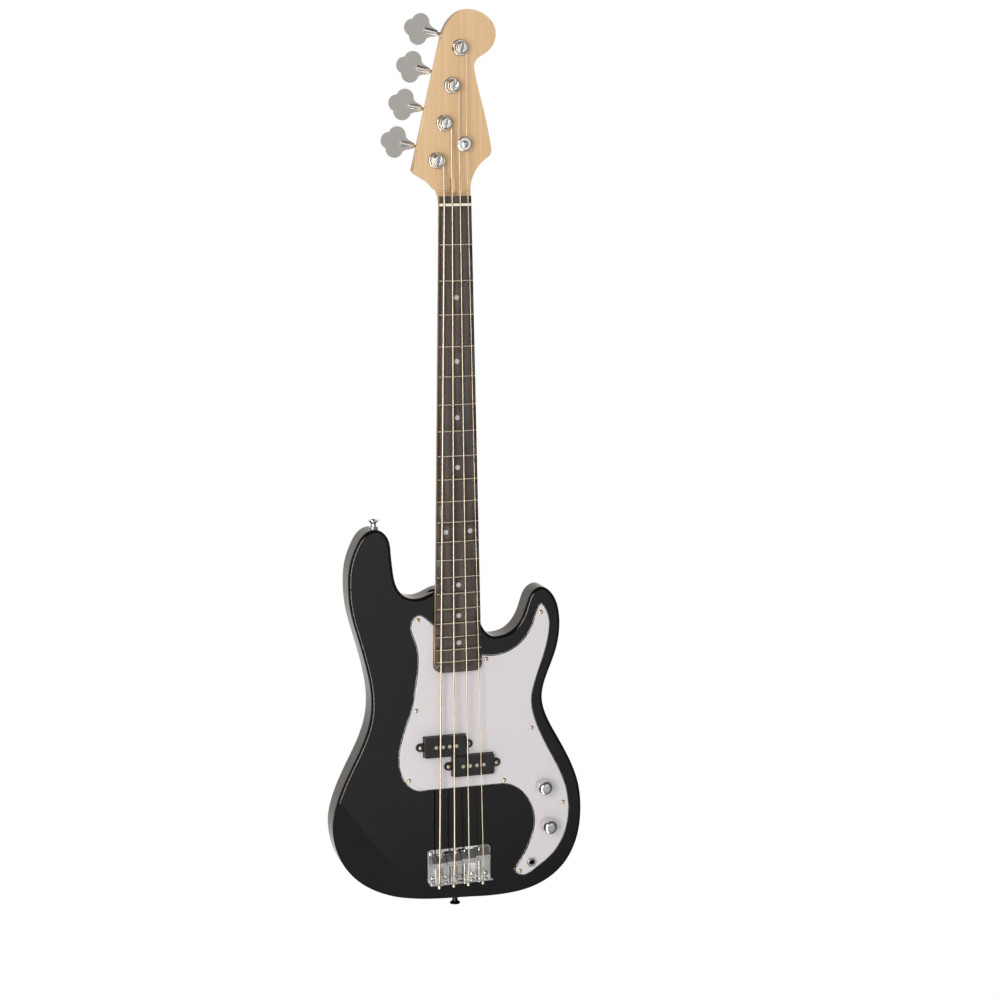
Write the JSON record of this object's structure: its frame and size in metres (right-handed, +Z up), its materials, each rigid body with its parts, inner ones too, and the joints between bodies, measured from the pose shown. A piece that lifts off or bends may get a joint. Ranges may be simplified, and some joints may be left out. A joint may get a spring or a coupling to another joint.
{
  "type": "electric bass guitar",
  "caption": "Solid-body electric bass guitar with a bolt-on neck, geared tuners, sliding bridge saddles, a split pickup and turning control knobs.",
  "frame": {"origin": "middle of the waist of the strap button at the end of the body", "axes": "+Z up along the neck to the headstock, +X to the treble side, the strings face -Y"},
  "size_m": [0.3442, 0.0629, 1.1794],
  "materials": {
    "lacquer": "gloss black lacquer over wood",
    "maple": "satin lacquered maple",
    "dark_wood": "oiled dark brown wood",
    "fret_wire": "nickel silver",
    "nut_cream": "cream",
    "dot_pearl": "grey-white",
    "guard_white": "white laminate with a dark middle layer",
    "black_plastic": "black",
    "coil_copper": "enamelled copper wire",
    "foam": "soft foam",
    "steel": "plain steel",
    "chrome": "polished chrome plating",
    "satin_nickel": "satin nickel plating",
    "string_nickel": "nickel wound",
    "aluminium": "plain",
    "capacitor_green": "green",
    "wire_black": "cloth or plastic covered wire"
  },
  "bodies": {
    "guitar": {"body": "lacquer", "neck": "maple", "fingerboard": "dark_wood", "frets": "fret_wire", "nut": "nut_cream", "position_dots": "dot_pearl", "truss_rod": "steel", "neck_plate": "chrome", "neck_screws": "chrome", "pickguard": "guard_white", "pickguard_screws": "chrome", "pickup_covers": "black_plastic", "pickup_coils": "coil_copper", "pickup_pole_pieces": "steel", "pickup_screws": "chrome", "pickup_foam": "foam", "bridge_plate": "chrome", "bridge_screws": "chrome", "tuner_plates": "satin_nickel", "tuner_bushings": "chrome", "tuner_screws": "chrome", "strap_buttons": "chrome", "strap_button_screws": "steel", "potentiometers": "steel", "control_nuts": "chrome", "output_jack": "chrome", "tone_capacitor": "capacitor_green", "wiring": "wire_black", "string_tree": "chrome", "string_tree_screw": "chrome", "string_e": "string_nickel", "string_a": "string_nickel", "string_d": "string_nickel", "string_g": "string_nickel", "intonation_springs": "steel"},
    "truss_rod_nut": {"truss_rod_nut": "steel"},
    "tuner_key_e": {"tuner_key_e": "satin_nickel"},
    "tuner_post_e": {"tuner_post_e": "satin_nickel"},
    "saddle_e": {"saddle_e": "chrome", "saddle_height_screws_e": "steel"},
    "intonation_screw_e": {"intonation_screw_e": "chrome"},
    "tuner_key_a": {"tuner_key_a": "satin_nickel"},
    "tuner_post_a": {"tuner_post_a": "satin_nickel"},
    "saddle_a": {"saddle_a": "chrome", "saddle_height_screws_a": "steel"},
    "intonation_screw_a": {"intonation_screw_a": "chrome"},
    "tuner_key_d": {"tuner_key_d": "satin_nickel"},
    "tuner_post_d": {"tuner_post_d": "satin_nickel"},
    "saddle_d": {"saddle_d": "chrome", "saddle_height_screws_d": "steel"},
    "intonation_screw_d": {"intonation_screw_d": "chrome"},
    "tuner_key_g": {"tuner_key_g": "satin_nickel"},
    "tuner_post_g": {"tuner_post_g": "satin_nickel"},
    "saddle_g": {"saddle_g": "chrome", "saddle_height_screws_g": "steel"},
    "intonation_screw_g": {"intonation_screw_g": "chrome"},
    "volume_knob": {"volume_knob": "chrome", "volume_shaft": "aluminium"},
    "tone_knob": {"tone_knob": "chrome", "tone_shaft": "aluminium"}
  },
  "joints": [
    {"name": "tuner_key_e_turn", "type": "hinge", "parent": "guitar", "child": "tuner_key_e", "pos_m": [-0.0189, 0.00368, 0.99539], "axis": [-0.9744, 0, 0.225], "continuous": true},
    {"name": "tuner_post_e_turn", "type": "hinge", "parent": "guitar", "child": "tuner_post_e", "pos_m": [-0.0216, 0, 0.9837], "axis": [0, -1, 0], "continuous": true},
    {"name": "saddle_e_slide", "type": "slide", "parent": "guitar", "child": "saddle_e", "axis": [0, 0, 1], "range_m": [-0.005, 0.004], "deforming": ["string_e", "intonation_springs"]},
    {"name": "intonation_screw_e_turn", "type": "hinge", "parent": "guitar", "child": "intonation_screw_e", "pos_m": [-0.0262, -0.0272, 0.032], "axis": [0, 0, 1], "range_deg": [-2600, 2600]},
    {"name": "tuner_key_a_turn", "type": "hinge", "parent": "guitar", "child": "tuner_key_a", "pos_m": [-0.00813, 0.00368, 1.04207], "axis": [-0.9744, 0, 0.225], "continuous": true},
    {"name": "tuner_post_a_turn", "type": "hinge", "parent": "guitar", "child": "tuner_post_a", "pos_m": [-0.01082, 0, 1.03037], "axis": [0, -1, 0], "continuous": true},
    {"name": "saddle_a_slide", "type": "slide", "parent": "guitar", "child": "saddle_a", "axis": [0, 0, 1], "range_m": [-0.005, 0.004], "deforming": ["string_a", "intonation_springs"]},
    {"name": "intonation_screw_a_turn", "type": "hinge", "parent": "guitar", "child": "intonation_screw_a", "pos_m": [-0.006, -0.0272, 0.032], "axis": [0, 0, 1], "range_deg": [-2600, 2600]},
    {"name": "tuner_key_d_turn", "type": "hinge", "parent": "guitar", "child": "tuner_key_d", "pos_m": [0.00265, 0.00368, 1.08874], "axis": [-0.9744, 0, 0.225], "continuous": true},
    {"name": "tuner_post_d_turn", "type": "hinge", "parent": "guitar", "child": "tuner_post_d", "pos_m": [-0.00005, 0, 1.07705], "axis": [0, -1, 0], "continuous": true},
    {"name": "saddle_d_slide", "type": "slide", "parent": "guitar", "child": "saddle_d", "axis": [0, 0, 1], "range_m": [-0.005, 0.004], "deforming": ["string_d", "intonation_springs"]},
    {"name": "intonation_screw_d_turn", "type": "hinge", "parent": "guitar", "child": "intonation_screw_d", "pos_m": [0.006, -0.0272, 0.032], "axis": [0, 0, 1], "range_deg": [-2600, 2600]},
    {"name": "tuner_key_g_turn", "type": "hinge", "parent": "guitar", "child": "tuner_key_g", "pos_m": [0.01342, 0.00368, 1.13541], "axis": [-0.9744, 0, 0.225], "continuous": true},
    {"name": "tuner_post_g_turn", "type": "hinge", "parent": "guitar", "child": "tuner_post_g", "pos_m": [0.01073, 0, 1.12372], "axis": [0, -1, 0], "continuous": true},
    {"name": "saddle_g_slide", "type": "slide", "parent": "guitar", "child": "saddle_g", "axis": [0, 0, 1], "range_m": [-0.005, 0.004], "deforming": ["string_g", "intonation_springs"]},
    {"name": "intonation_screw_g_turn", "type": "hinge", "parent": "guitar", "child": "intonation_screw_g", "pos_m": [0.0262, -0.0272, 0.032], "axis": [0, 0, 1], "range_deg": [-2600, 2600]},
    {"name": "volume_knob_turn", "type": "hinge", "parent": "guitar", "child": "volume_knob", "pos_m": [0.1175, -0.027, 0.1526], "axis": [0, -1, 0], "range_deg": [-150, 150]},
    {"name": "tone_knob_turn", "type": "hinge", "parent": "guitar", "child": "tone_knob", "pos_m": [0.1242, -0.027, 0.0975], "axis": [0, -1, 0], "range_deg": [-150, 150]},
    {"name": "truss_rod_nut_turn", "type": "hinge", "parent": "guitar", "child": "truss_rod_nut", "pos_m": [0, -0.0175, 0.927], "axis": [0, 0, 1], "range_deg": [-180, 180]}
  ],
  "couplings": [
    {"joint": "tuner_post_e_turn", "follows": "tuner_key_e_turn", "ratio": -0.05},
    {"joint": "intonation_screw_e_turn", "follows": "saddle_e_slide", "rad_per_m": -8976},
    {"joint": "tuner_post_a_turn", "follows": "tuner_key_a_turn", "ratio": -0.05},
    {"joint": "intonation_screw_a_turn", "follows": "saddle_a_slide", "rad_per_m": -8976},
    {"joint": "tuner_post_d_turn", "follows": "tuner_key_d_turn", "ratio": -0.05},
    {"joint": "intonation_screw_d_turn", "follows": "saddle_d_slide", "rad_per_m": -8976},
    {"joint": "tuner_post_g_turn", "follows": "tuner_key_g_turn", "ratio": -0.05},
    {"joint": "intonation_screw_g_turn", "follows": "saddle_g_slide", "rad_per_m": -8976}
  ]
}
